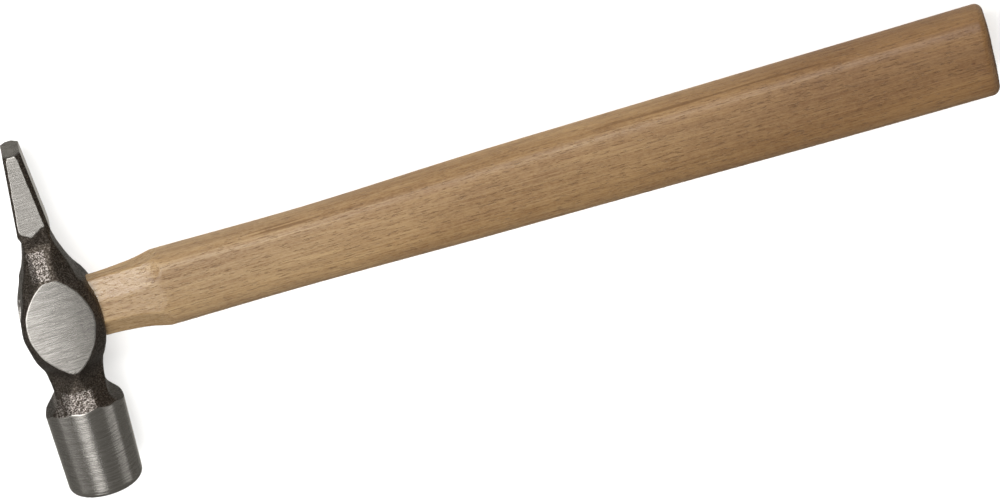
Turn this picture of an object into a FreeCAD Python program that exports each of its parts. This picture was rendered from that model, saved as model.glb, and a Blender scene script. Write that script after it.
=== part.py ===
"""Cross-peen pin hammer: a forged head wedged onto a one-piece wooden handle.

The hammer lies on its side: +X runs along the handle to its butt, +Y along the head to the
peen, and +Z is up, across the cheeks. The origin is under the middle of the whole tool, on the
surface that it lies on. Every piece is drawn about the centre of the eye, where the axis of the
head crosses the axis of the handle, and its Placement moves it to that origin.
"""
import FreeCAD, Part
import math
import os
import re

import Sketcher

SHEET = "Sizes"

# name, millimetres, meaning. Reaches are measured from the centre of the eye.
SIZES = [
    # head, side outline
    ("peen_reach", 56.5, "to the tip of the peen"),
    ("face_reach", 56.5, "to the striking face"),
    ("peen_root_reach", 30.4, "to where the ground wedge of the peen ends"),
    ("upper_neck_reach", 26.5, "to the narrowest section above the eye"),
    ("upper_shoulder_reach", 13.0, "to where the upper neck meets the eye block"),
    ("lower_shoulder_reach", 14.6, "to where the lower neck meets the eye block"),
    ("poll_reach", 30.8, "to where the round poll begins"),
    ("peen_tip_thickness", 5.5, "of the peen at its tip"),
    ("peen_root_thickness", 10.0, "of the peen at its root"),
    ("upper_neck_thickness", 9.4, "of the upper neck"),
    ("upper_shoulder_back", 8.1, "half width at the upper shoulder, wedge side"),
    ("upper_shoulder_front", 8.4, "half width at the upper shoulder, handle side"),
    ("lower_shoulder_back", 8.4, "half width at the lower shoulder, wedge side"),
    ("lower_shoulder_front", 9.3, "half width at the lower shoulder, handle side"),
    ("block_back", 11.95, "to the back of the eye block, wedge side"),
    ("block_front", 13.0, "to the front of the eye block, handle side"),
    ("upper_hollow", 0.65, "rise of the hollow above the eye block"),
    ("lower_hollow", 2.6, "rise of the hollow below the eye block"),
    # head, edge outline
    ("peen_width", 12.55, "of the peen across the tool"),
    ("upper_neck_width", 12.95, "of the upper neck across the tool"),
    ("cheek_width", 20.6, "from cheek flat to cheek flat"),
    ("cheek_flat_reach", 15.4, "to each end of the ground cheek flats"),
    ("upper_cheek_hollow", 0.6, "rise of the hollow between peen and cheek"),
    ("lower_cheek_hollow", 3.1, "rise of the hollow between cheek and poll"),
    # head, corner facets: distances from the head's axis, square to the facet
    ("peen_tip_corner", 5.9, "at the peen's tip"),
    ("peen_root_corner", 7.25, "at the peen's root"),
    ("upper_neck_corner", 6.45, "at the upper neck"),
    ("shoulder_corner_back", 8.35, "at both shoulders, wedge side"),
    ("shoulder_corner_front", 9.4, "at both shoulders, handle side"),
    ("block_corner_back", 14.2, "at the eye, wedge side"),
    ("block_corner_front", 14.6, "at the eye, handle side"),
    ("upper_corner_hollow", 0.9, "rise of the upper corner hollows"),
    ("lower_corner_hollow", 2.4, "rise of the lower corner hollows"),
    # poll
    ("poll_radius", 12.2, "of the poll where it begins"),
    ("face_radius", 11.25, "of the poll at its face, before the edge is rounded"),
    ("face_edge", 2.35, "radius of the rounded edge of the face"),
    # eye, an oval hole with a waist
    ("eye_waist_height", 17.85, "along the head, at the waist"),
    ("eye_waist_width", 11.55, "across the head, at the waist"),
    ("eye_mouth_height", 19.7, "along the head, at the handle side"),
    ("eye_mouth_width", 13.35, "across the head, at the handle side"),
    ("eye_top_height", 19.4, "along the head, at the wedge side"),
    ("eye_top_width", 12.95, "across the head, at the wedge side"),
    ("eye_corner", 5.6, "corner radius of the eye"),
    ("eye_over", 1.0, "that the eye's cutter runs past each side of the eye block"),
    # handle
    ("tenon_sunk", 1.6, "that the tenon's end lies below the back of the eye block"),
    ("tenon_reach", 7.85, "to where the planed neck takes over from the tenon"),
    ("neck_start", 4.9, "to the buried start of the planed neck"),
    ("neck_reach", 13.7, "to the narrowest section of the planed neck"),
    ("neck_end", 23.7, "to the start of the shoulder"),
    ("shoulder_reach", 34.3, "to the top of the shoulder"),
    ("waist_reach", 70.6, "to the thinnest section of the grip"),
    ("swell_reach", 138.2, "to the middle of the swelling grip"),
    ("palm_inset", 70.6, "from the butt to the palm section"),
    ("butt_reach", 289.0, "to the end of the butt"),
    ("neck_gap", 0.2, "between the planed neck and the mouth of the eye, all round"),
    ("neck_corner_height", 6.25, "height of a planed corner of the neck"),
    ("neck_corner_width", 4.3, "width of a planed corner of the neck"),
    ("neck_end_height", 20.1, "height at the start of the shoulder"),
    ("neck_end_width", 14.5, "width at the start of the shoulder"),
    ("shoulder_height", 23.5, "height at the top of the shoulder"),
    ("shoulder_width", 16.65, "width at the top of the shoulder"),
    ("waist_height", 23.0, "height at the waist"),
    ("waist_width", 16.65, "width at the waist"),
    ("swell_height", 25.1, "height in the middle"),
    ("swell_width", 17.85, "width in the middle"),
    ("palm_height", 26.4, "height at the palm"),
    ("palm_width", 18.6, "width at the palm"),
    ("butt_height", 27.1, "height at the butt"),
    ("butt_width", 19.2, "width at the butt"),
    ("grip_corner", 7.25, "corner radius of the grip"),
    ("butt_edge", 2.55, "radius of the rounded edge of the butt"),
    # wedges
    ("kerf_reach", 5.9, "to the blind end of the saw kerf in the tenon"),
    ("kerf_width", 0.9, "of the saw kerf, and of the wooden wedge's tip"),
    ("wood_wedge_reach", 3.35, "to the tip of the wooden wedge"),
    ("wood_wedge_thickness", 3.15, "of the wooden wedge at the end of the tenon"),
    ("wood_wedge_gap", 0.5, "between the wooden wedge and each end of the eye's waist"),
    ("steel_wedge_length", 10.8, "of a steel wedge"),
    ("steel_wedge_thickness", 2.0, "of a steel wedge at its head"),
    ("steel_wedge_edge", 0.4, "of a steel wedge at its cutting end"),
    ("steel_wedge_gap", 1.1, "between a steel wedge and each side of the eye's waist"),
    ("steel_wedge_spread", 5.1, "from the handle's axis to each steel wedge"),
    # room that cutters take past the solid
    ("cutter_room", 20.0, "past the solid, for every cutter"),
]

doc = FreeCAD.newDocument("PinHammer")
NAMES = {name for name, _, _ in SIZES}


def make_sheet():
    table = doc.addObject("Spreadsheet::Sheet", SHEET)
    for row, (name, number, meaning) in enumerate(SIZES, start=1):
        table.set(f"A{row}", name)
        table.set(f"B{row}", str(number))
        table.set(f"C{row}", meaning)
        table.setAlias(f"B{row}", name)
    doc.recompute()
    return table


sheet = make_sheet()


def size(formula):
    """Turn the bare size names in a formula into references to the sheet."""
    return re.sub("[a-z_]+", lambda word: f"{SHEET}.{word[0]}" if word[0] in NAMES else word[0], formula)


def value(formula):
    return float(sheet.evalExpression(size(formula)))


def bind(sketch, constraint, name, formula):
    index = sketch.addConstraint(constraint)
    sketch.renameConstraint(index, name)
    sketch.setExpression(f"Constraints.{name}", size(formula))


# ---------------------------------------------------------------- sketches and features


def arc_between(start, end, rise):
    """Arc from start to end that bulges right of its travel by rise, or left where that is negative."""
    chord = end - start
    radius = chord.Length**2 / (8 * abs(rise)) + abs(rise) / 2
    left = FreeCAD.Vector(-chord.y, chord.x, 0).normalize()
    centre = (start + end) / 2 + left * math.copysign(radius - abs(rise), rise)
    circle = Part.Circle(centre, FreeCAD.Vector(0, 0, 1), radius)
    first, last = (start, end) if rise > 0 else (end, start)
    return Part.ArcOfCircle(circle, circle.parameter(first), circle.parameter(last))


def draw(sketch, corners):
    """Add a closed outline, traced anticlockwise, with each corner and each arc bound to the sheet.

    A corner is (x, y), or (x, y, rise) where an arc leads on to the next corner. The arc bulges out
    of the outline by rise, or into it where rise is negative.
    """
    spots = [FreeCAD.Vector(value(x), value(y), 0) for x, y, *_ in corners]
    first = sketch.GeometryCount
    starts = []
    for i, (_, _, *rise) in enumerate(corners):
        end = spots[(i + 1) % len(corners)]
        if rise:
            sketch.addGeometry(arc_between(spots[i], end, value(rise[0])))
        else:
            sketch.addGeometry(Part.LineSegment(spots[i], end))
        inward = bool(rise) and value(rise[0]) < 0
        starts.append(2 if inward else 1)
    for i, (x, y, *rise) in enumerate(corners):
        edge = first + i
        after = (i + 1) % len(corners)
        joint = (edge, 3 - starts[i], first + after, starts[after])
        sketch.addConstraint(Sketcher.Constraint("Coincident", *joint))
        corner = (-1, 1, edge, starts[i])
        bind(sketch, Sketcher.Constraint("DistanceX", *corner, spots[i].x), f"x{edge}", x)
        bind(sketch, Sketcher.Constraint("DistanceY", *corner, spots[i].y), f"y{edge}", y)
        if rise:
            next_x, next_y = corners[after][:2]
            chord = f"(({x} - ({next_x}))^2 + ({y} - ({next_y}))^2)"
            radius = f"{chord} / (8 * abs({rise[0]})) + abs({rise[0]}) / 2"
            now = sketch.Geometry[edge].Radius
            bind(sketch, Sketcher.Constraint("Radius", edge, now), f"radius{edge}", radius)


def new_body(label):
    """Body drawn about the centre of the eye, then placed in the tool's own frame."""
    body = doc.addObject("PartDesign::Body", label)
    body.Label = label
    back = "max(block_back ; poll_radius)"
    body.setExpression("Placement.Base.x", size(f"({back} - butt_reach) / 2"))
    body.setExpression("Placement.Base.y", size("(face_reach - peen_reach) / 2"))
    body.setExpression("Placement.Base.z", size("poll_radius"))
    return body


def new_sketch(body, name, role, angle=0, reach="0"):
    """Sketch on an origin plane of the body, turned about its second axis and moved off by reach."""
    sketch = body.newObject("Sketcher::SketchObject", name)
    plane = next(feature for feature in body.Origin.OriginFeatures if feature.Role == role)
    sketch.AttachmentSupport = [(plane, "")]
    sketch.MapMode = "FlatFace"
    second_axis = FreeCAD.Vector(0, 1, 0)
    sketch.AttachmentOffset = FreeCAD.Placement(FreeCAD.Vector(), FreeCAD.Rotation(second_axis, angle))
    sketch.setExpression("AttachmentOffset.Base.z", size(reach))
    return sketch


def extrude(kind, sketch, width=None):
    """Pad or Pocket both ways from its sketch: by width in all, or through everything."""
    body = sketch.getParentGeoFeatureGroup()
    feature = body.newObject(f"PartDesign::{kind}", f"{sketch.Name}_{kind}")
    feature.Profile = sketch
    feature.Midplane = True
    if width:
        feature.setExpression("Length", size(width))
    else:
        feature.Type = "ThroughAll"
    doc.recompute()
    return feature


def loft(kind, sketches, ruled=False):
    body = sketches[0].getParentGeoFeatureGroup()
    feature = body.newObject(f"PartDesign::{kind}", f"{sketches[0].Name}_{kind}")
    feature.Profile = sketches[0]
    feature.Sections = sketches[1:]
    feature.Ruled = ruled
    doc.recompute()
    return feature


def spin(kind, sketch):
    """Revolution or Groove about the sketch's upright axis."""
    body = sketch.getParentGeoFeatureGroup()
    feature = body.newObject(f"PartDesign::{kind}", f"{sketch.Name}_{kind}")
    feature.Profile = sketch
    feature.ReferenceAxis = (sketch, ["V_Axis"])
    feature.Angle = 360
    doc.recompute()
    return feature


def rectangle(sketch, low_x, high_x, low_y, high_y):
    draw(sketch, [(low_x, low_y), (high_x, low_y), (high_x, high_y), (low_x, high_y)])


def rounded_section(sketch, height, width, corner):
    """Upright rounded rectangle about the sketch's origin: its height lies along the head."""
    section(sketch, height, width, corner, corner, (f"{corner} * (1 - sqrt(0.5))",))


def planed_section(sketch, height, width, corner_height, corner_width):
    """Upright rectangle about the sketch's origin with its four corners planed off."""
    section(sketch, height, width, corner_height, corner_width, ())


def section(sketch, height, width, corner_height, corner_width, bend):
    end = f"({height}) / 2"
    top = f"({width}) / 2"
    flat = f"(({height}) / 2 - {corner_height})"
    edge = f"(({width}) / 2 - {corner_width})"
    draw(
        sketch,
        [
            (f"-{flat}", f"-{top}"),
            (flat, f"-{top}", *bend),
            (end, f"-{edge}"),
            (end, edge, *bend),
            (flat, top),
            (f"-{flat}", top, *bend),
            (f"-{end}", edge),
            (f"-{end}", f"-{edge}", *bend),
        ],
    )


# ---------------------------------------------------------------- eye, shared by head and tenon


def eye_sections(body):
    """The eye's three ovals: at the wedges, at the waist and at the handle."""
    stations = {
        "top": "-(block_back + eye_over)",
        "waist": "0",
        "mouth": "block_front + eye_over",
    }
    sketches = []
    for name, reach in stations.items():
        sketch = new_sketch(body, f"eye_{name}", "YZ_Plane", reach=reach)
        rounded_section(sketch, f"eye_{name}_height", f"eye_{name}_width", "eye_corner")
        sketches.append(sketch)
    return sketches


# ---------------------------------------------------------------- head


def side_flank(which):
    """Half widths of the head seen from the side, as (half width, reach, rise of the next arc)."""
    upper = f"upper_shoulder_{which}"
    lower = f"lower_shoulder_{which}"
    return [
        ("peen_tip_thickness / 2", "peen_reach"),
        ("peen_root_thickness / 2", "peen_root_reach"),
        ("upper_neck_thickness / 2", "upper_neck_reach", "-upper_hollow"),
        (upper, "upper_shoulder_reach", f"block_{which} - ({upper} + {lower}) / 2"),
        (lower, "-lower_shoulder_reach", "-lower_hollow"),
        ("poll_radius", "-poll_reach"),
    ]


def edge_flank():
    """Half widths of the head seen edge on: peen, hollow, ground cheek flat, hollow, poll."""
    return [
        ("peen_width / 2", "peen_reach + cutter_room"),
        ("peen_width / 2", "peen_root_reach"),
        ("upper_neck_width / 2", "upper_neck_reach", "-upper_cheek_hollow"),
        ("cheek_width / 2", "cheek_flat_reach"),
        ("cheek_width / 2", "-cheek_flat_reach", "-lower_cheek_hollow"),
        ("poll_radius", "-poll_reach"),
        ("poll_radius", "-poll_reach - cutter_room"),
    ]


def corner_flank(which):
    """Distances of the head's corner facets from its axis, seen along the facets."""
    shoulder = f"shoulder_corner_{which}"
    return [
        ("peen_tip_corner", "peen_reach"),
        ("peen_root_corner", "peen_root_reach"),
        ("upper_neck_corner", "upper_neck_reach", "-upper_corner_hollow"),
        (shoulder, "cheek_flat_reach", f"block_corner_{which} - {shoulder}"),
        (shoulder, "-cheek_flat_reach", "-lower_corner_hollow"),
        ("poll_radius", "-poll_reach"),
        ("poll_radius", "-poll_reach - cutter_room"),
    ]


def head_outline(sketch, back, front):
    """Closed outline between two flanks, each listed from the peen down to the poll."""
    down = [(f"-({width})", reach, *bend) for width, reach, *bend in back]
    bends = [()] + [bend for _, _, *bend in front[:-1]]
    up = [(width, reach, *bend) for (width, reach, *_), bend in zip(front, bends)]
    draw(sketch, down + up[::-1])


def make_head():
    body = new_body("head")
    blank = new_sketch(body, "side_outline", "XY_Plane")
    head_outline(blank, side_flank("back"), side_flank("front"))
    extrude("Pad", blank, "2 * cutter_room")

    cuts = {
        "edge_outline": (90, edge_flank(), edge_flank()),
        "left_corners": (45, corner_flank("back"), corner_flank("front")),
        "right_corners": (-45, corner_flank("back"), corner_flank("front")),
    }
    for name, (angle, back, front) in cuts.items():
        cutter = new_sketch(body, name, "XY_Plane", angle=angle)
        wide = "2 * cutter_room"
        rectangle(cutter, f"-{wide}", wide, f"-poll_reach - {wide}", f"peen_reach + {wide}")
        head_outline(cutter, back, front)
        extrude("Pocket", cutter)

    poll = new_sketch(body, "poll_outline", "XY_Plane")
    draw(
        poll,
        [
            ("0", "-face_reach"),
            ("face_radius - face_edge", "-face_reach", "face_edge * (1 - sqrt(0.5))"),
            ("face_radius", "-face_reach + face_edge"),
            ("poll_radius", "-poll_reach"),
            ("0", "-poll_reach"),
        ],
    )
    spin("Revolution", poll)

    scallops = new_sketch(body, "poll_scallops", "XY_Plane")
    rectangle(scallops, "poll_radius", "2 * poll_radius", "-poll_reach", "-lower_shoulder_reach")
    spin("Groove", scallops)

    loft("SubtractiveLoft", eye_sections(body))
    return body


# ---------------------------------------------------------------- handle


def end_of_tenon():
    return "-(block_back - tenon_sunk)"


def steel_wedge_outline(sketch, sign):
    """Taper of one steel wedge, thick at the end of the tenon."""
    head = "steel_wedge_thickness / 2"
    tip = "steel_wedge_edge / 2"
    middle = f"{sign} * steel_wedge_spread"
    near = end_of_tenon()
    far = f"{near} + steel_wedge_length"
    draw(
        sketch,
        [
            (near, f"{middle} - {head}"),
            (far, f"{middle} - {tip}"),
            (far, f"{middle} + {tip}"),
            (near, f"{middle} + {head}"),
        ],
    )


STEEL_WEDGES = {"steel_wedge_peen_side": 1, "steel_wedge_poll_side": -1}


def cut_steel_wedges(body, width):
    """Slots that the two steel wedges fill."""
    for name, sign in STEEL_WEDGES.items():
        slot = new_sketch(body, f"{body.Name}_{name}", "XY_Plane")
        steel_wedge_outline(slot, sign)
        extrude("Pocket", slot, width)


def make_handle():
    body = new_body("handle")
    loft("AdditiveLoft", eye_sections(body))

    trim = new_sketch(body, "tenon_trim", "XY_Plane")
    wide = "2 * cutter_room"
    rectangle(trim, f"{end_of_tenon()} - {wide}", end_of_tenon(), f"-{wide}", wide)
    rectangle(trim, "tenon_reach", f"tenon_reach + {wide}", f"-{wide}", wide)
    extrude("Pocket", trim)

    neck = {
        "neck_start": ("eye_waist_height - 2 * neck_gap", "eye_waist_width - 2 * neck_gap"),
        "neck_reach": ("eye_mouth_height - 2 * neck_gap", "eye_mouth_width - 2 * neck_gap"),
        "neck_end": ("neck_end_height", "neck_end_width"),
    }
    sections = []
    for reach, (height, width) in neck.items():
        sketch = new_sketch(body, f"{reach}_section", "YZ_Plane", reach=reach)
        planed_section(sketch, height, width, "neck_corner_height", "neck_corner_width")
        sections.append(sketch)
    sections.append(grip_section(body, "neck_top", "shoulder", "shoulder_reach"))
    loft("AdditiveLoft", sections, ruled=True)

    grip = {
        "shoulder": "shoulder_reach",
        "waist": "waist_reach",
        "swell": "swell_reach",
        "palm": "butt_reach - palm_inset",
        "butt": "butt_reach",
    }
    grip_loft = loft("AdditiveLoft", [grip_section(body, name, name, reach) for name, reach in grip.items()])
    round_butt(body, grip_loft)

    kerf = new_sketch(body, "kerf", "XZ_Plane")
    wooden_wedge_outline(kerf, "kerf_reach")
    extrude("Pocket", kerf)
    cut_steel_wedges(body, "eye_waist_width - 2 * steel_wedge_gap")
    return body


def grip_section(body, name, station, reach):
    sketch = new_sketch(body, f"{name}_section", "YZ_Plane", reach=reach)
    rounded_section(sketch, f"{station}_height", f"{station}_width", "grip_corner")
    return sketch


def round_butt(body, grip):
    """Rounded rim of the end face of the butt."""
    end = value("butt_reach")
    rim = [
        f"Edge{number}"
        for number, edge in enumerate(grip.Shape.Edges, start=1)
        if all(abs(vertex.Point.x - end) < 1e-4 for vertex in edge.Vertexes)
    ]
    fillet = body.newObject("PartDesign::Fillet", "butt_rim")
    fillet.Base = (grip, rim)
    fillet.setExpression("Radius", size("butt_edge"))
    doc.recompute()


# ---------------------------------------------------------------- wedges


def wooden_wedge_outline(sketch, blind_end):
    """Taper of the wooden wedge, with the narrow kerf beyond its tip where blind_end is given."""
    mouth = "wood_wedge_thickness / 2"
    tip = "kerf_width / 2"
    near = end_of_tenon()
    lower = [(near, f"-{mouth}"), ("wood_wedge_reach", f"-{tip}")]
    upper = [("wood_wedge_reach", tip), (near, mouth)]
    beyond = [(blind_end, f"-{tip}"), (blind_end, tip)] if blind_end else []
    draw(sketch, lower + beyond + upper)


def make_wooden_wedge():
    body = new_body("wooden_wedge")
    taper = new_sketch(body, "wedge_taper", "XZ_Plane")
    wooden_wedge_outline(taper, None)
    extrude("Pad", taper, "eye_waist_height - 2 * wood_wedge_gap")
    cut_steel_wedges(body, None)
    return body


def make_steel_wedge(label, sign):
    body = new_body(label)
    taper = new_sketch(body, f"{label}_taper", "XY_Plane")
    steel_wedge_outline(taper, sign)
    extrude("Pad", taper, "eye_waist_width - 2 * steel_wedge_gap")
    return body


# ---------------------------------------------------------------- build and write


def check(nodes):
    doc.recompute()
    for item in doc.Objects:
        if "Invalid" in item.State or "Error" in item.State:
            raise RuntimeError(f"{item.Name} did not compute: {item.State}")
    for node in nodes:
        shape = node.Shape
        if shape.isNull() or not shape.isValid() or len(shape.Solids) != 1:
            raise RuntimeError(f"{node.Label} is not one valid solid")


def write(nodes):
    os.makedirs("parts", exist_ok=True)
    for node in nodes:
        node.Shape.exportStep(f"parts/{node.Label}.step")
        box = node.Shape.BoundBox
        print(f"{node.Label}: {node.Shape.Volume / 1000:.2f} cm3, {box}")


nodes = [make_head(), make_handle(), make_wooden_wedge()]
for label, sign in STEEL_WEDGES.items():
    nodes.append(make_steel_wedge(label, sign))
check(nodes)
write(nodes)
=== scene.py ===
import math

import bmesh
import bpy
import numpy as np
from mathutils import Matrix, Vector, noise


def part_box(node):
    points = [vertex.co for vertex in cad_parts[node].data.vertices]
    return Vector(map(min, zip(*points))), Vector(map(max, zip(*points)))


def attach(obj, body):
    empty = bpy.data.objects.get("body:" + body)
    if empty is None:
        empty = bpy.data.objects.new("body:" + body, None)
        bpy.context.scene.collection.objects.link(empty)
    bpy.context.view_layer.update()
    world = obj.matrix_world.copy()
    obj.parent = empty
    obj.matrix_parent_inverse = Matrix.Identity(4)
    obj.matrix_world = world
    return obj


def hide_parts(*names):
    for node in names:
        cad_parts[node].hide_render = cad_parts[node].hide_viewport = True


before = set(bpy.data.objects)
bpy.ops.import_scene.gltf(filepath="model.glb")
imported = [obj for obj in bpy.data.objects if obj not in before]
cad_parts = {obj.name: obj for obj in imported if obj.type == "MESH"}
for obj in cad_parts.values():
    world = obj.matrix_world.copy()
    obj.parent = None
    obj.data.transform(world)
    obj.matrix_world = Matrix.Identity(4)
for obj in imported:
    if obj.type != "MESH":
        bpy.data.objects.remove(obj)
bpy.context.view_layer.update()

MM = 0.001

# ---------------------------------------------------------------- sizes, in millimetres
# The pieces are shaped about the centre of the eye: x to the butt, y to the peen, z across.

PEEN_REACH = 56.1        # from the eye's centre to the tip of the peen
FACE_REACH = 56.8        # and to the striking face
PEEN_ROOT = 31.4         # where the forged blank steps up to the ground peen
PEEN_FOOT = 30.4         # where the peen is PEEN_THICK thick
UPPER_NECK = 26.5        # between the peen and the eye
CHEEK_END = 15.4         # of the oval cheeks, both ways
POLL_START = 28.2        # where the poll is POLL_RADIUS, before it tapers to the face
PEEN_TIP = 5.5
PEEN_THICK = 10.0
PEEN_WIDTH = 12.55
CHEEK = 10.3             # from the middle plane to a cheek
POLL_RADIUS = 12.2
FACE_RADIUS = 11.3
FACE_EDGE = 2.1          # radius of the edge round the striking face
EYE_INSET = 12.2         # of the eye's centre from the outermost point of the poll
CHEEK_CROWN = 0.0016     # fall of a cheek from its middle, per length squared
CHEEK_REACH = 21.0       # that the grinding of the cheeks could go to
PROUD = 0.4              # that the forged blank stands over the ground faces of the peen
POLL_PROUD = 1.6         # that it would stand over the turned poll, were it not turned
RIDGE = 34.0             # sharpness of the ridges between the forged facets
UNGROUND = 99.0          # radius where nothing is ground

HEAD_STEP = 0.3          # between rings of points
HEAD_AROUND = 336
HANDLE_AROUND = 240
EYE_AROUND = 96
WEDGE_STOPS = 25

LEAN = 0.0105            # of the head towards the handle, per length along it

BUTT_REACH = 288.6       # from the eye's centre to the butt
BUTT_SLANT = 0.05        # the butt is sawn this much out of square
BUTT_EDGE = 2.6          # radius of the edge round the butt
TENON_END = -10.1

# length along the handle, height and width of the eye there
EYE = [(-12.95, 19.4, 12.95), (0.0, 17.85, 11.55), (14.0, 19.7, 13.35)]
EYE_CORNER = 5.6

head_low, head_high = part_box("head")
EYE_CENTRE = Vector(
    (
        head_low.x + EYE_INSET * MM,
        (head_low.y + head_high.y) / 2,
        (head_low.z + head_high.z) / 2,
    )
)


# ---------------------------------------------------------------- shared helpers


def closed_mesh(name, points, faces, material):
    """Mesh of a closed skin, its faces turned outwards, from points about the eye centre."""
    mesh = bpy.data.meshes.new(name)
    placed = np.asarray(points) * MM + np.array(EYE_CENTRE)
    mesh.from_pydata(placed.tolist(), [], faces)
    shape = bmesh.new()
    shape.from_mesh(mesh)
    bmesh.ops.recalc_face_normals(shape, faces=shape.faces)
    shape.to_mesh(mesh)
    shape.free()
    mesh.polygons.foreach_set("use_smooth", [True] * len(mesh.polygons))
    mesh.materials.append(material)
    mesh.update()
    return mesh


def point_values(mesh, name, values):
    layer = mesh.attributes.new(name, "FLOAT", "POINT")
    layer.data.foreach_set("value", np.asarray(values).ravel().astype(np.float32))


def make_mesh(name, points, faces, material):
    """Mesh object from points in millimetres about the eye centre, riding on the tool."""
    piece = bpy.data.objects.new(name, closed_mesh(name, points, faces, material))
    bpy.context.collection.objects.link(piece)
    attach(piece, "root")
    return piece


def skin(rings, around):
    """Faces over a stack of closed rings of points, both ends capped."""
    faces = []
    for i in range(rings - 1):
        for j in range(around):
            k = (j + 1) % around
            faces.append((i * around + k, i * around + j, (i + 1) * around + j, (i + 1) * around + k))
    last = (rings - 1) * around
    faces.append(tuple(range(around)))
    faces.append(tuple(last + j for j in reversed(range(around))))
    return faces


def noise_at(points, scale, seed):
    """Smooth noise of about -1..1 at each point, with features about 1/scale long."""
    shift = Vector((seed * 13.7, seed * 7.3, seed * 3.1))
    return np.array([noise.noise(Vector(p) * scale + shift) for p in points])


def through(stations, values, x):
    """Curve through the values at the stations, without overshoot."""
    stations = np.array(stations, dtype=float)
    values = np.array(values, dtype=float)
    x = np.clip(x, stations[0], stations[-1])
    gaps = np.diff(stations)
    slopes = np.diff(values) / gaps
    tangents = np.zeros_like(values)
    rising = slopes[1:] * slopes[:-1] > 0
    tangents[1:-1][rising] = 2 / (1 / slopes[1:][rising] + 1 / slopes[:-1][rising])
    tangents[0] = slopes[0]
    tangents[-1] = slopes[-1]
    i = np.clip(np.searchsorted(stations, x, side="right") - 1, 0, len(gaps) - 1)
    part = (x - stations[i]) / gaps[i]
    bend = part**2 * (3 - 2 * part)
    start = part * (1 - part) ** 2
    end = part**2 * (part - 1)
    return (
        values[i] * (1 - bend)
        + values[i + 1] * bend
        + gaps[i] * (tangents[i] * start + tangents[i + 1] * end)
    )


# ---------------------------------------------------------------- head


def arc(y, high, low, rise):
    """Half width along an arc from station high down to station low; rise bulges it outwards."""
    (y1, w1), (y0, w0) = high, low
    length = math.hypot(y1 - y0, w1 - w0)
    radius = length**2 / (8 * abs(rise)) + abs(rise) / 2
    out = math.copysign(1.0, rise)
    reach = (radius - abs(rise)) * out
    centre_w = (w0 + w1) / 2 - (y1 - y0) / length * reach
    centre_y = (y0 + y1) / 2 + (w1 - w0) / length * reach
    inside = np.clip(radius**2 - (y - centre_y) ** 2, 0, None)
    return centre_w + out * np.sqrt(inside)


def flank(y, stations):
    """Half width at y; stations run from the peen down as (reach, half width, rise of the next arc)."""
    width = np.full_like(y, stations[0][1])
    for (y1, w1, rise), (y0, w0, _) in zip(stations, stations[1:]):
        here = (y <= y1) & (y >= y0)
        if rise:
            width[here] = arc(y[here], (y1, w1), (y0, w0), rise)
        else:
            width[here] = w0 + (w1 - w0) * (y[here] - y0) / (y1 - y0)
    width[y < stations[-1][0]] = stations[-1][1]
    return width


def flare(start):
    """Stations where a facet runs out over the poll."""
    return [(-start, POLL_RADIUS, 0), (-start - 2.2, POLL_RADIUS + POLL_PROUD, 0)]


def peen_half(y):
    """Half thickness of the ground wedge of the peen."""
    slope = (PEEN_THICK - PEEN_TIP) / 2 / (PEEN_REACH - PEEN_FOOT)
    return PEEN_TIP / 2 + (PEEN_REACH - y) * slope


SIDE = [                 # reach towards the peen, half thickness towards the handle and away from it
    (-33.0, 13.8, 13.8),
    (-31.2, 12.35, 12.35),
    (-30.5, 11.85, 11.95),
    (-28.9, 10.2, 10.8),
    (-27.2, 8.6, 9.0),
    (-25.6, 8.1, 7.8),
    (-24.0, 8.15, 7.65),
    (-22.4, 8.25, 7.55),
    (-19.0, 8.85, 7.95),
    (-15.8, 9.65, 8.55),
    (-12.6, 11.0, 9.5),
    (-9.3, 12.0, 10.4),
    (-6.1, 12.7, 11.05),
    (-1.5, 13.0, 11.75),
    (3.7, 12.85, 11.2),
    (7.0, 12.0, 10.15),
    (10.2, 10.6, 9.05),
    (13.5, 8.7, 8.2),
    (16.8, 7.55, 6.8),
    (20.0, 6.45, 5.8),
    (23.3, 5.4, 4.95),
    (26.0, 4.8, 4.4),
    (27.4, 4.6, 4.45),
    (28.8, 4.9, 4.75),
    (30.0, 5.4, 5.65),
    (56.5, 3.15, 3.15),
]


# from x to x, and from y to y, of each patch of the forging painted lighter: a painted highlight for the
# light these facets catch
PAINTED_SHEEN_PATCHES = [(-4.1, 1.4, 16.0, 24.0), (-6.0, 3.5, -28.6, -22.2), (-9.0, -6.6, -28.6, -24.0)]


def side_half(y, column):
    return through([row[0] for row in SIDE], [row[column] for row in SIDE], y)


def edge_half(y, x):
    """Half width across, which the point of the ground face of the peen reaches down into."""
    point = 2.4 * np.clip(1 - np.abs(x + 1.0) / 3.6, 0, 1)
    lowered = np.where(y > UPPER_NECK, y + point * np.clip((y - UPPER_NECK) / 2, 0, 1), y)
    stations = [
        (PEEN_REACH + 3, PEEN_WIDTH / 2 + PROUD, 0),
        (PEEN_ROOT + 0.6, PEEN_WIDTH / 2 + PROUD, 0),
        (PEEN_ROOT - 0.2, PEEN_WIDTH / 2 - 0.12, 0),
        (UPPER_NECK - 1.2, 5.0, -0.35),
        (CHEEK_END, CHEEK, 0.9),
        (-CHEEK_END, CHEEK, -0.5),
        (-23.0, 8.8, -0.2),
    ]
    return flank(lowered, stations + flare(27.9))


def corner_half(y, peen, upper, block, lower, start):
    stations = [
        (PEEN_REACH, peen - 0.5, 0),
        (PEEN_REACH - 1.5, peen, 0),
        (PEEN_ROOT, peen + 1.6, 0),
        (UPPER_NECK, 6.35, -0.9),
        (CHEEK_END, upper, block - (upper + lower) / 2),
        (-CHEEK_END, lower, -1.2),
        (-22.5, 8.4, 0),
        (-24.0, 9.0, -0.2),
    ]
    return flank(y, stations + flare(start))


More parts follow.
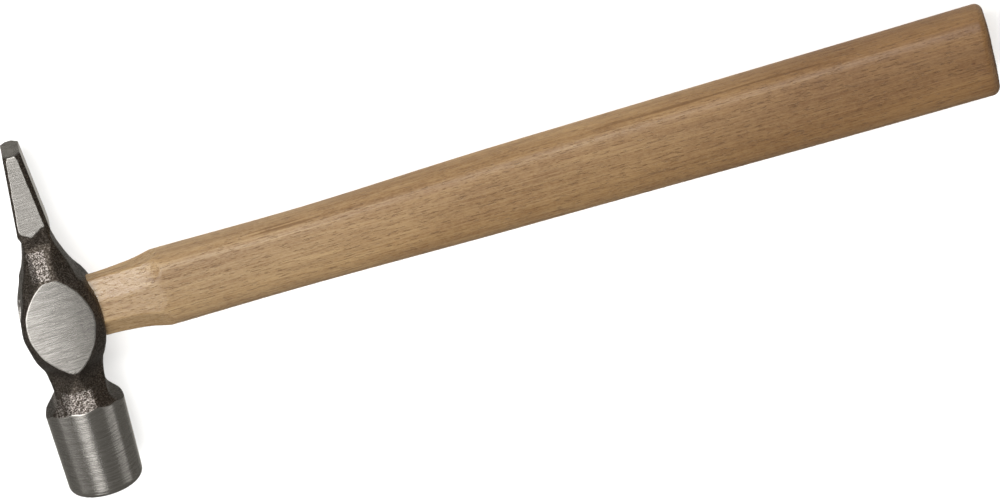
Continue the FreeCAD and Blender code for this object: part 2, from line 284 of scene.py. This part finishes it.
def forged_radius(y, angle):
    """Distance from the head's axis to the forged blank, its facets blended at their ridges."""
    front = side_half(y, 1)
    back = side_half(y, 2)
    front_corner = corner_half(y, 5.55, 9.5, 14.6, 8.9, 28.6)
    back_corner = corner_half(y, 5.85, 9.0, 14.3, 7.9, 28.4)
    across = edge_half(y, 6.3 / np.tan(np.where(np.abs(np.sin(angle)) < 0.3, 1, angle)))
    front_under = corner_half(y, 5.6, 9.3, 14.6, 8.9, 31.2)
    back_under = corner_half(y, 5.85, 8.8, 14.3, 7.9, 31.2)
    facets = [front, front_corner, across, back_corner, back, back_under, across, front_under]
    total = np.zeros_like(angle)
    for eighth, half in enumerate(facets):
        toward = np.cos(angle - math.radians(45 * eighth))
        total += (np.clip(toward, 1e-6, None) / half) ** RIDGE
    return total ** (-1 / RIDGE)


def ground_radius(y, angle):
    """Distance from the head's axis to the ground and turned faces, large where there are none."""
    across = np.abs(np.sin(angle)) + 1e-9
    along = np.abs(np.cos(angle)) + 1e-9
    x = CHEEK / np.tan(np.where(across < 0.3, 1, angle))
    crown = CHEEK_CROWN * x**2
    radius = np.where(np.abs(y) < CHEEK_REACH, (CHEEK - crown) / across, UNGROUND)
    peen = np.minimum(PEEN_WIDTH / 2 / across, peen_half(y) / along)
    radius = np.where(y > UPPER_NECK + 1, np.minimum(radius, peen), radius)
    taper = (POLL_RADIUS - FACE_RADIUS) / (FACE_REACH - POLL_START)
    poll = POLL_RADIUS - (-y - POLL_START) * taper
    return np.where(y < -23, np.minimum(radius, poll), radius)


def painted_sheen_at(x, y):
    """1 on the patches of painted highlight, fading to 0 around them."""
    painted_sheen = np.zeros_like(y)
    for x_low, x_high, y_low, y_high in PAINTED_SHEEN_PATCHES:
        inside_x = np.minimum(x - x_low, x_high - x)
        inside_y = np.minimum(y - y_low, y_high - y)
        painted_sheen = np.maximum(painted_sheen, np.clip(0.5 + np.minimum(inside_x, inside_y) / 1.4, 0, 1))
    return painted_sheen


def head_rings():
    """(y, inset) of each ring of points, from the centre of the face up to the peen's tip."""
    rings = [(-FACE_REACH, inset) for inset in np.linspace(FACE_RADIUS, FACE_EDGE, 12)[1:]]
    for turn in np.linspace(0, math.pi / 2, 10)[1:]:
        rings.append((FACE_EDGE * (1 - math.cos(turn)) - FACE_REACH, FACE_EDGE * (1 - math.sin(turn))))
    start = -FACE_REACH + FACE_EDGE + HEAD_STEP
    rings += [(y, 0.0) for y in np.arange(start, PEEN_REACH - 2 * HEAD_STEP, HEAD_STEP)]
    for turn in np.linspace(0, math.pi / 2, 5):
        rings.append((PEEN_REACH - 0.5 * (1 - math.sin(turn)), 0.5 * (1 - math.cos(turn))))
    rings += [(PEEN_REACH, inset) for inset in (1.0, 1.6, 2.2)]
    return rings


def make_head(material):
    rings = head_rings()
    turn = np.linspace(0, 2 * math.pi, HEAD_AROUND, endpoint=False)
    ys = np.array([y for y, _ in rings])
    insets = np.array([inset for _, inset in rings])
    wide = through([-31, -14.6, 0, 13, 30.4, 56.5], [12, 9, 12.4, 8.3, 5, 2.75], ys)
    deep = through([-31, -15.4, 15.4, 30.4, 56.5], [12, 10.3, 10.3, 6.3, 6.2], ys)
    angle = np.arctan2(deep[:, None] * np.sin(turn), wide[:, None] * np.cos(turn))
    y = np.repeat(ys[:, None], HEAD_AROUND, axis=1)
    forged = forged_radius(y, angle)
    spots = np.stack([forged * np.cos(angle), y, forged * np.sin(angle)], axis=-1).reshape(-1, 3)
    rough = 0.12 * noise_at(spots, 0.2, 1)
    rough = rough + 0.06 * noise_at(spots, 0.6, 2)
    rough = rough + 0.03 * noise_at(spots, 1.7, 3)
    forged = forged + rough.reshape(forged.shape)
    ground = ground_radius(y, angle)
    over = np.where(y > PEEN_REACH - 0.25, 0.3, forged - ground)
    radius = np.minimum(forged, ground)
    inner = np.clip(radius - insets[:, None], 0.02, None)
    x = inner * np.cos(angle) + LEAN * y
    points = np.stack([x, y, inner * np.sin(angle)], axis=-1).reshape(-1, 3)
    piece = make_mesh("forged_head", points, skin(len(rings), HEAD_AROUND), material)
    point_values(piece.data, "over", np.clip(over, -1, 1))
    # patches of painted highlight on the forging
    point_values(piece.data, "painted_sheen", painted_sheen_at(x, y))
    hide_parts("head")
    cut_eye(piece, material)


# ---------------------------------------------------------------- eye and handle


def eye_surface(low, high, shrink=0.0, steps=30):
    """Rings of the tapered eye, from low to high along the handle."""
    turn = np.linspace(0, 2 * math.pi, EYE_AROUND, endpoint=False)
    stations = [station for station, _, _ in EYE]
    heights = np.polyfit(stations, [height for _, height, _ in EYE], 2)
    widths = np.polyfit(stations, [width for _, _, width in EYE], 2)
    corner = EYE_CORNER - shrink
    points = []
    for x in np.linspace(low, high, steps):
        flat_y = np.polyval(heights, x) / 2 - shrink - corner
        flat_z = np.polyval(widths, x) / 2 - shrink - corner
        y = np.sign(np.cos(turn)) * flat_y * np.abs(np.cos(turn)) ** 0.25 + corner * np.cos(turn)
        z = np.sign(np.sin(turn)) * flat_z * np.abs(np.sin(turn)) ** 0.25 + corner * np.sin(turn)
        points += [(x, a, b) for a, b in zip(y, z)]
    return points, skin(steps, EYE_AROUND)


def cut_eye(piece, material):
    points, faces = eye_surface(-16.0, 17.0)
    mesh = closed_mesh("eye_cutter", points, faces, material)
    point_values(mesh, "over", [-0.6] * len(points))
    point_values(mesh, "painted_sheen", [0.0] * len(points))
    cutter = bpy.data.objects.new("eye_cutter", mesh)
    bpy.context.collection.objects.link(cutter)
    boolean = piece.modifiers.new("eye", "BOOLEAN")
    boolean.operation = "DIFFERENCE"
    boolean.solver = "EXACT"
    boolean.object = cutter
    graph = bpy.context.evaluated_depsgraph_get()
    result = bpy.data.meshes.new_from_object(piece.evaluated_get(graph))
    piece.modifiers.clear()
    old = piece.data
    piece.data = result
    bpy.data.meshes.remove(old)
    bpy.data.objects.remove(cutter)


def handle_radius(x, angle):
    """Distance from the handle's axis to its surface: a rounded grip, planed to flats by the head."""
    along = np.abs(np.cos(angle))
    across = np.abs(np.sin(angle))
    high = through([34.3, 70.6, 138.2, 218.4, 289.0], [11.75, 11.45, 12.6, 13.45, 14.0], x)
    deep = through([34.3, 70.6, 138.2, 218.4, 289.0], [8.3, 8.32, 8.92, 9.3, 9.6], x)
    grip = ((along / high) ** 2.7 + (across / deep) ** 2.7) ** (-1 / 2.7)
    top = through([4, 13.7, 23.7, 30, 37, 60], [9.4, 9.5, 9.95, 10.95, 12.9, 18], x)
    side = through([4, 13.7, 23.7, 30, 37, 60], [6.2, 6.47, 7.25, 7.95, 9.4, 15], x)
    flat = through([4, 13.7, 23.7, 30, 36, 60], [7.1, 7.26, 8.15, 9.3, 11.4, 18], x)
    slanted = 0.567 * along + 0.824 * across
    planes = (along / top) ** 90 + (across / side) ** 90 + (slanted / flat) ** 90
    return (planes + grip**-90.0) ** (-1 / 90)


def make_handle(material):
    rings = [(x, 0.0) for x in np.arange(4, 46, 0.4)]
    rings += [(x, 0.0) for x in np.arange(46, BUTT_REACH - BUTT_EDGE - 0.3, 1.2)]
    for turn in np.linspace(0, math.pi / 2, 10):
        rings.append((BUTT_REACH - BUTT_EDGE * (1 - math.sin(turn)), BUTT_EDGE * (1 - math.cos(turn))))
    for share in np.linspace(0.1, 1, 9):
        rings.append((BUTT_REACH + 0.35 * (1 - (1 - share) ** 2), BUTT_EDGE + share * 6.9))
    xs = np.array([x for x, _ in rings])[:, None]
    insets = np.array([inset for _, inset in rings])[:, None]
    turn = np.linspace(0, 2 * math.pi, HANDLE_AROUND, endpoint=False)[None, :]
    angle = np.arctan2(8.0 * np.sin(turn), 11.5 * np.cos(turn)) + 0 * xs
    radius = handle_radius(xs + 0 * turn, angle)
    spots = np.stack([xs * 0.12 + 0 * turn, radius * np.cos(angle), radius * np.sin(angle)], axis=-1)
    wave = noise_at(spots.reshape(-1, 3), 0.16, 5).reshape(radius.shape)
    radius = np.clip(radius + 0.1 * wave - insets, 0.02, None)
    sag = through([4, 20, 34, 75, 120, 150, 250, 289], [0.2, 0.26, 0.5, 0.55, 0.3, 0.18, 0.12, 0.0], xs)
    y = radius * np.cos(angle) - sag
    z = radius * np.sin(angle)
    share = np.clip((xs - 240) / 48, 0, 1) ** 2
    points = np.stack([xs + BUTT_SLANT * y * share, y, z], axis=-1).reshape(-1, 3)
    piece = make_mesh("wooden_handle", points, skin(len(rings), HANDLE_AROUND), material)
    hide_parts("handle")


def make_tenon(material):
    points, _ = eye_surface(TENON_END, 8.0, 0.03)
    rim = np.array(points[:EYE_AROUND])
    middle = [[TENON_END, 0.0, 0.0]]
    discs = [rim * share + np.array(middle) * (1 - share) for share in np.linspace(0.04, 0.97, 14)]
    points = sunk(np.concatenate(discs + [np.array(points)]))
    faces = skin(len(points) // EYE_AROUND, EYE_AROUND)
    tenon = make_mesh("tenon", points, faces, material)
    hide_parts("handle")


# ---------------------------------------------------------------- wedges


def sunk(points):
    """The points, those near the end of the tenon following the round back of the head."""
    points = np.array(points, dtype=float)
    share = np.clip((-4.0 - points[:, 0]) / 5.0, 0, 1)
    points[:, 0] += 1.35 * (points[:, 1] / 9.7) ** 2 * share
    return points


def make_wedge(name, node, material, thin, crush, proud):
    """A wedge in its node's place, thin at its inner end, its struck end crushed and a little proud."""
    low, high = ((corner - EYE_CENTRE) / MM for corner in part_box(node))
    along = 1 if high.y - low.y > high.z - low.z else 2
    aside = 3 - along
    half = (high[aside] - low[aside]) / 2
    centre = (high[aside] + low[aside]) / 2
    start = TENON_END - proud
    outline = [(high.x - 0.3, thin / 2), (start + 1.2, half * 0.97), (start + 0.5, half)]
    outline += [(start + 0.12, half - 0.08), (start, half - 0.3), (start - 0.03, half * 0.4)]
    outline += [(x, -side) for x, side in reversed(outline)]
    stops = np.linspace(low[along], high[along], WEDGE_STOPS)
    points = []
    for number, stop in enumerate(stops):
        end = min(number, WEDGE_STOPS - 1 - number)
        pinch = (0.72, 0.92, 1.0)[min(end, 2)]
        for x, side in outline:
            spot = [x, 0.0, 0.0]
            spot[along] = stop
            spot[aside] = centre + side * pinch
            if x < start + 0.6:
                wave = noise.noise(Vector((stop * 0.9, side * 1.1, thin * 7)))
                spot[0] += crush * wave + (0.1 if end == 0 else 0.0)
                spot[aside] += 0.5 * crush * noise.noise(Vector((stop * 0.7, side, 9)))
            points.append(spot)
    faces = skin(WEDGE_STOPS, len(outline))
    piece = make_mesh(name, sunk(points), faces, material)
    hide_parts(node)


# ---------------------------------------------------------------- materials


class Nodes:
    """Short calls for building one material's node tree."""

    def __init__(self, name):
        self.material = bpy.data.materials.new(name)
        self.material.use_nodes = True
        self.tree = self.material.node_tree
        self.shader = self.tree.nodes["Principled BSDF"]
        self.place = self.add("ShaderNodeTexCoord").outputs["Object"]

    def add(self, kind, **settings):
        node = self.tree.nodes.new(kind)
        for key, value in settings.items():
            setattr(node, key, value)
        return node

    def put(self, socket, value):
        if isinstance(value, bpy.types.NodeSocket):
            self.tree.links.new(value, socket)
        elif isinstance(value, tuple) and len(value) == 3 and socket.type == "RGBA":
            socket.default_value = (*value, 1)
        else:
            socket.default_value = value

    def scaled(self, vector, scale, turn=(0, 0, 0), shift=(0, 0, 0)):
        node = self.add("ShaderNodeMapping")
        self.put(node.inputs["Vector"], vector)
        node.inputs["Scale"].default_value = scale
        node.inputs["Rotation"].default_value = turn
        node.inputs["Location"].default_value = shift
        return node.outputs["Vector"]

    def noise(self, vector, scale=1.0, detail=2.0, rough=0.5, distortion=0.0):
        node = self.add("ShaderNodeTexNoise")
        self.put(node.inputs["Vector"], vector)
        node.inputs["Scale"].default_value = scale
        node.inputs["Detail"].default_value = detail
        node.inputs["Roughness"].default_value = rough
        node.inputs["Distortion"].default_value = distortion
        return node.outputs["Fac"]

    def math(self, kind, a, b=0.0, c=0.0):
        node = self.add("ShaderNodeMath", operation=kind)
        for socket, value in zip(node.inputs, (a, b, c)):
            self.put(socket, value)
        return node.outputs[0]

    def ramp(self, value, low, high, to_low=0.0, to_high=1.0):
        node = self.add("ShaderNodeMapRange", interpolation_type="SMOOTHSTEP")
        for key, given in (
            ("Value", value),
            ("From Min", low),
            ("From Max", high),
            ("To Min", to_low),
            ("To Max", to_high),
        ):
            self.put(node.inputs[key], given)
        return node.outputs["Result"]

    def mix(self, factor, a, b, blend="MIX"):
        node = self.add("ShaderNodeMix", data_type="RGBA", blend_type=blend)
        self.put(node.inputs["Factor"], factor)
        self.put(node.inputs["A"], a)
        self.put(node.inputs["B"], b)
        return node.outputs["Result"]

    def blend(self, factor, a, b):
        node = self.add("ShaderNodeMix", data_type="FLOAT")
        self.put(node.inputs["Factor"], factor)
        self.put(node.inputs["A"], a)
        self.put(node.inputs["B"], b)
        return node.outputs["Result"]

    def bump(self, height, distance, strength=1.0, normal=None):
        node = self.add("ShaderNodeBump")
        self.put(node.inputs["Height"], height)
        node.inputs["Distance"].default_value = distance
        node.inputs["Strength"].default_value = strength
        if normal is not None:
            self.put(node.inputs["Normal"], normal)
        return node.outputs["Normal"]

    def finish(self, **inputs):
        for key, value in inputs.items():
            self.put(self.shader.inputs[key.replace("_", " ")], value)
        return self.material


def steel_material():
    n = Nodes("hammer_steel")
    over = n.add("ShaderNodeAttribute", attribute_name="over").outputs["Fac"]
    fray = n.noise(n.place, 900, 3)
    edge = n.math("ADD", over, n.math("MULTIPLY_ADD", fray, 0.05, -0.025))
    ground = n.ramp(edge, -0.012, 0.012)

    # scale and pits of the forged skin
    grain = n.noise(n.place, 2300, 4, 0.6)
    lumps = n.noise(n.place, 700, 3, 0.55)
    wear = n.ramp(grain, 0.42, 0.68)
    # painted highlight: patches of the forging, on both sides of the head, painted near white where its
    # facets catch the light
    painted_sheen = n.add("ShaderNodeAttribute", attribute_name="painted_sheen").outputs["Fac"]
    painted_sheen = n.ramp(n.math("ADD", painted_sheen, n.math("MULTIPLY_ADD", lumps, 0.5, -0.25)), 0.3, 0.7)
    bright = n.mix(painted_sheen, (0.21, 0.182, 0.155), (0.72, 0.65, 0.6))
    skin_colour = n.mix(wear, (0.038, 0.029, 0.022), bright)
    skin_colour = n.mix(n.ramp(lumps, 0.35, 0.65, 0.0, 0.35), skin_colour, (0.1, 0.085, 0.07))

    # lines of the grinding belt, which run round the head's axis
    lines = n.noise(n.scaled(n.place, (240, 5600, 240)), 1.0, 3, 0.6)
    coarse = n.noise(n.scaled(n.place, (60, 1900, 60)), 1.0, 2, 0.5)
    scratches = n.ramp(n.noise(n.scaled(n.place, (120, 2600, 120), (0, 0, 0.12)), 1.0, 2), 0.62, 0.72)
    brush = n.math("ADD", n.math("MULTIPLY", lines, 0.8), n.math("MULTIPLY", coarse, 0.2))
    metal = n.mix(n.ramp(brush, 0.32, 0.68), (0.27, 0.256, 0.236), (0.43, 0.412, 0.386))
    metal = n.mix(n.math("MULTIPLY", scratches, 0.3), metal, (0.36, 0.35, 0.33))
    pits = n.ramp(n.noise(n.place, 620, 2, 0.4), 0.765, 0.8)
    metal = n.mix(pits, metal, (0.03, 0.025, 0.02))

    colour = n.mix(ground, skin_colour, metal)
    forged_rough = n.ramp(grain, 0.3, 0.7, 0.5, 0.32)
    ground_rough = n.ramp(brush, 0.3, 0.7, 0.25, 0.17)
    height = n.math("ADD", n.math("MULTIPLY", grain, 0.75), n.math("MULTIPLY", lumps, 0.6))
    normal_forged = n.bump(height, 0.0003)
    normal_ground = n.bump(brush, 0.000026)
    normal = n.add("ShaderNodeMix", data_type="VECTOR")
    n.put(normal.inputs["Factor"], ground)
    n.put(normal.inputs[4], normal_forged)
    n.put(normal.inputs[5], normal_ground)
    return n.finish(
        Base_Color=colour,
        Metallic=0.95,
        Roughness=n.blend(ground, forged_rough, ground_rough),
        Normal=normal.outputs[1],
    )


def wood_material(name="handle_beech", tint=(1.0, 1.0, 1.0)):
    n = Nodes(name)
    sway = n.noise(n.scaled(n.place, (9, 30, 30)), 1.0, 2, 0.5)
    split = n.add("ShaderNodeSeparateXYZ")
    n.put(split.inputs["Vector"], n.place)
    x, y, z = split.outputs

    # growth rings about a pith well outside the handle
    off_y = n.math("ADD", y, 0.052)
    off_z = n.math("ADD", z, 0.021)
    square = n.math("ADD", n.math("MULTIPLY", off_y, off_y), n.math("MULTIPLY", off_z, off_z))
    ring = n.math("SQRT", square)
    ring = n.math("ADD", ring, n.math("MULTIPLY", sway, 0.012))
    ring = n.math("ADD", ring, n.math("MULTIPLY", x, 0.011))
    band = n.math("FRACT", n.math("MULTIPLY", ring, 430))
    late = n.ramp(band, 0.62, 0.98)

    fibre = n.noise(n.scaled(n.place, (26, 1500, 1500)), 1.0, 4, 0.65)
    fine = n.noise(n.scaled(n.place, (75, 3600, 3600)), 1.0, 3, 0.7)
    figure = n.noise(n.scaled(n.place, (420, 230, 230), (0, 0, 0.5)), 1.0, 2, 0.5, 0.6)
    patch = n.noise(n.scaled(n.place, (14, 75, 75)), 1.0, 4, 0.6)
    pores = n.ramp(n.noise(n.scaled(n.place, (330, 3300, 3300)), 1.0, 1, 0.5), 0.62, 0.7)
    long_streaks = n.ramp(n.noise(n.scaled(n.place, (9, 330, 330)), 1.0, 3, 0.5), 0.56, 0.7)
    streaks = n.ramp(n.noise(n.scaled(n.place, (22, 620, 620)), 1.0, 2, 0.45), 0.66, 0.76)
    flecks = n.ramp(n.noise(n.scaled(n.place, (900, 2400, 2400)), 1.0, 1, 0.5), 0.3, 0.7)

    colour = n.mix(n.ramp(patch, 0.36, 0.66), (0.265, 0.155, 0.072), (0.44, 0.3, 0.165))
    colour = n.mix(n.math("MULTIPLY", late, 0.4), colour, (0.24, 0.125, 0.05))
    colour = n.mix(n.ramp(fibre, 0.35, 0.7, 0.0, 0.5), colour, (0.5, 0.37, 0.225))
    colour = n.mix(n.ramp(fine, 0.58, 0.32, 0.0, 0.6), colour, (0.19, 0.1, 0.042))
    colour = n.mix(n.ramp(figure, 0.42, 0.62, 0.0, 0.14), colour, (0.5, 0.36, 0.2))
    colour = n.mix(n.math("MULTIPLY", long_streaks, 0.34), colour, (0.19, 0.105, 0.05))
    colour = n.mix(n.math("MULTIPLY", flecks, 0.16), colour, (0.6, 0.47, 0.32))
    colour = n.mix(n.math("MULTIPLY", pores, 0.55), colour, (0.13, 0.065, 0.03))
    colour = n.mix(n.math("MULTIPLY", streaks, 0.6), colour, (0.16, 0.08, 0.032))

    # end grain is darker and shows the pores end on
    facing = n.add("ShaderNodeSeparateXYZ")
    n.put(facing.inputs["Vector"], n.add("ShaderNodeNewGeometry").outputs["Normal"])
    end = n.ramp(n.math("ABSOLUTE", facing.outputs["X"]), 0.75, 0.95)
    dots = n.ramp(n.noise(n.place, 2600, 2, 0.5), 0.5, 0.66)
    colour = n.mix(n.math("MULTIPLY", end, 0.55), colour, (0.13, 0.07, 0.03))
    colour = n.mix(n.math("MULTIPLY", n.math("MULTIPLY", end, dots), 0.6), colour, (0.06, 0.03, 0.015))
    # the grip is lighter near the head and darker towards the butt
    grip_tone_along = n.mix(n.ramp(x, -0.1, -0.01), (0.97, 0.93, 0.82), (0.88, 0.78, 0.6))
    grip_tone_along = n.mix(n.ramp(x, 0.0, 0.14), grip_tone_along, (0.66, 0.52, 0.36))
    colour = n.mix(1.0, colour, grip_tone_along, "MULTIPLY")
    colour = n.mix(1.0, colour, tint, "MULTIPLY")

    height = n.math("ADD", n.math("MULTIPLY", fibre, 0.5), n.math("MULTIPLY", fine, 0.3))
    height = n.math("SUBTRACT", height, n.math("MULTIPLY", pores, 0.6))
    rough = n.math("MULTIPLY", n.ramp(fibre, 0.3, 0.7, 1.15, 0.85), n.ramp(x, -0.112, -0.098, 0.21, 0.4))
    return n.finish(
        Base_Color=colour,
        Roughness=n.blend(end, rough, 0.75),
        Specular_IOR_Level=0.5,
        Normal=n.bump(height, 0.0001),
    )


def wedge_steel_material():
    n = Nodes("wedge_steel")
    grain = n.noise(n.place, 1500, 4, 0.6)
    lines = n.noise(n.scaled(n.place, (300, 300, 3500)), 1.0, 2, 0.5)
    colour = n.mix(n.ramp(grain, 0.4, 0.65), (0.12, 0.1, 0.085), (0.38, 0.36, 0.34))
    height = n.math("ADD", grain, n.math("MULTIPLY", lines, 0.5))
    return n.finish(
        Base_Color=colour,
        Metallic=0.9,
        Roughness=n.ramp(grain, 0.3, 0.7, 0.55, 0.35),
        Normal=n.bump(height, 0.00008),
    )


def floor_material():
    n = Nodes("floor_paper")
    return n.finish(Base_Color=(0.93, 0.93, 0.925), Roughness=0.95, Specular_IOR_Level=0.1)


# ---------------------------------------------------------------- build

steel = steel_material()
wood = wood_material()
wedge_wood = wood_material("wedge_beech", (0.82, 0.74, 0.66))
wedge_steel = wedge_steel_material()
make_head(steel)
make_handle(wood)
make_tenon(wood)
make_wedge("driven_wooden_wedge", "wooden_wedge", wedge_wood, 0.9, 0.14, 0.12)
make_wedge("driven_steel_wedge_a", "steel_wedge_peen_side", wedge_steel, 0.4, 0.1, 0.4)
make_wedge("driven_steel_wedge_b", "steel_wedge_poll_side", wedge_steel, 0.5, 0.1, 0.36)

# ---------------------------------------------------------------- floor, light, camera

TILT = math.radians(24.1)       # from straight above towards the peen
SWING = math.radians(0.75)      # towards the butt
ROLL = math.radians(16.0)       # of the handle above the horizontal
DISTANCE = 5.0                  # from the point looked at, in metres
VIEW_WIDTH = 0.29755            # seen across the picture, in metres, at the eye
EYE_AT = Vector((-0.44166, -0.06494))   # of the eye in the picture, in picture widths from its centre


def make_floor():
    mesh = bpy.data.meshes.new("floor")
    mesh.from_pydata([(-9, -9, 0), (9, -9, 0), (9, 9, 0), (-9, 9, 0)], [], [(0, 1, 2, 3)])
    mesh.materials.append(floor_material())
    floor = bpy.data.objects.new("floor", mesh)
    bpy.context.collection.objects.link(floor)
    floor.visible_glossy = False
    return floor


def make_lamp(name, kind, place, target, energy):
    lamp = bpy.data.lights.new(name, kind)
    lamp.energy = energy
    light = bpy.data.objects.new(name, lamp)
    bpy.context.collection.objects.link(light)
    light.location = place
    direction = Vector(target) - Vector(place)
    light.rotation_euler = direction.to_track_quat("-Z", "Y").to_euler()
    light.visible_camera = False
    return light


def make_softbox(name, place, target, size, energy):
    lamp = make_lamp(name, "AREA", place, target, energy).data
    lamp.shape = "RECTANGLE"
    lamp.size, lamp.size_y = size


def make_lights(floor):
    make_softbox("key", (-0.6, 0.3, 0.9), (-0.6, 0.3, 0.0), (0.84, 1.5), 8.0)
    make_softbox("strip", (-0.1, 0.85, 0.85), (-0.1, 0.0, 0.0), (1.3, 0.17), 7.5)
    make_softbox("front", (-0.45, -0.9, 0.55), (-0.12, 0.0, 0.0), (0.5, 0.25), 0.5)
    make_softbox("right_fill", (0.9, -0.5, 0.45), (0.0, 0.0, 0.0), (0.25, 0.6), 0.35)
    make_softbox("left_fill", (-1.0, -0.3, 0.35), (-0.1, 0.0, 0.0), (0.25, 0.6), 0.5)
    ceiling = make_lamp("ceiling", "SUN", (-0.38, -0.1, 0.95), (0, 0, 0), 0.62)
    ceiling.data.angle = math.radians(44)
    paper = make_lamp("paper_light", "SUN", (0, 0, 1), (0, 0, 0), 1.8)
    paper.data.use_shadow = False
    lit = bpy.data.collections.new("lit_by_paper_light")
    lit.objects.link(floor)
    paper.light_linking.receiver_collection = lit


def make_world():
    world = bpy.data.worlds.new("studio")
    bpy.context.scene.world = world
    world.use_nodes = True
    tree = world.node_tree
    back = tree.nodes["Background"]
    toward = tree.nodes.new("ShaderNodeVectorMath")
    toward.operation = "DOT_PRODUCT"
    toward.inputs[1].default_value = Vector((0.02, -0.15, -0.99)).normalized()
    place = tree.nodes.new("ShaderNodeTexCoord")
    cap = tree.nodes.new("ShaderNodeMapRange")
    cap.inputs["From Min"].default_value = 0.78
    cap.inputs["From Max"].default_value = 0.97
    cap.inputs["To Min"].default_value = 0.2
    cap.inputs["To Max"].default_value = 0.55
    tree.links.new(place.outputs["Generated"], toward.inputs[0])
    tree.links.new(toward.outputs["Value"], cap.inputs["Value"])
    tree.links.new(cap.outputs["Result"], back.inputs["Strength"])
    back.inputs["Color"].default_value = (1.0, 0.965, 0.89, 1)


def make_camera():
    back = Vector((math.sin(SWING), math.cos(SWING) * math.sin(TILT), math.cos(SWING) * math.cos(TILT)))
    handle = Vector((1, 0, 0))
    level = (handle - back * handle.dot(back)).normalized()
    right = math.cos(ROLL) * level - math.sin(ROLL) * back.cross(level)
    up = back.cross(right)
    aim = EYE_CENTRE - (right * EYE_AT.x + up * EYE_AT.y) * VIEW_WIDTH
    lens = bpy.data.cameras.new("camera")
    lens.sensor_width = 36
    lens.lens = lens.sensor_width * DISTANCE / VIEW_WIDTH
    lens.clip_end = 20
    camera = bpy.data.objects.new("camera", lens)
    bpy.context.collection.objects.link(camera)
    turned = Matrix((right, up, back)).transposed().to_4x4()
    camera.matrix_world = Matrix.Translation(aim + back * DISTANCE) @ turned
    bpy.context.scene.camera = camera


make_lights(make_floor())
make_world()
make_camera()
bpy.context.scene.view_settings.view_transform = "Standard"
